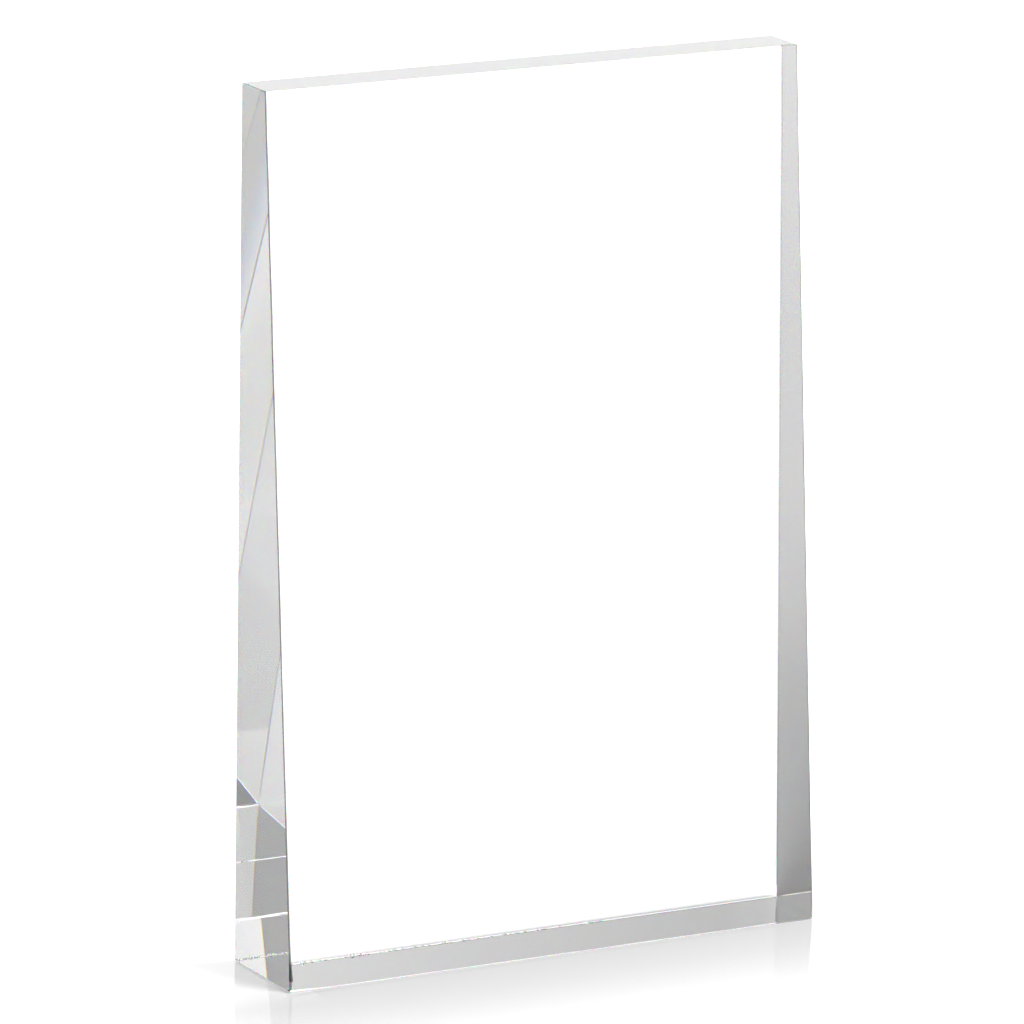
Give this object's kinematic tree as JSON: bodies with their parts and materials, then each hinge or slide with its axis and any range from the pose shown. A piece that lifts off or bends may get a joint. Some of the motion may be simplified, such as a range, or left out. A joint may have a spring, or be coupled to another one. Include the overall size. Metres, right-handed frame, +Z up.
{
  "type": "crystal award",
  "caption": "Free-standing wedge-section block of clear polished optical crystal: deep square base, slim top, upright back and a blank, slightly reclined rectangular award face.",
  "frame": {"origin": "middle of the base's footprint, on the resting plane", "axes": "+Z up; the award face looks towards -Y and leans back; the upright back face looks towards +Y; +X runs across the width, to the right as seen from the front"},
  "size_m": [0.1524, 0.0318, 0.2286],
  "materials": {
    "optical_crystal": "clear lead-free optical crystal (K9 type), ground flat and polished on all six faces, every edge broken with a fine polished arris"
  },
  "bodies": {
    "root": {"crystal_block": "optical_crystal"}
  },
  "joints": []
}
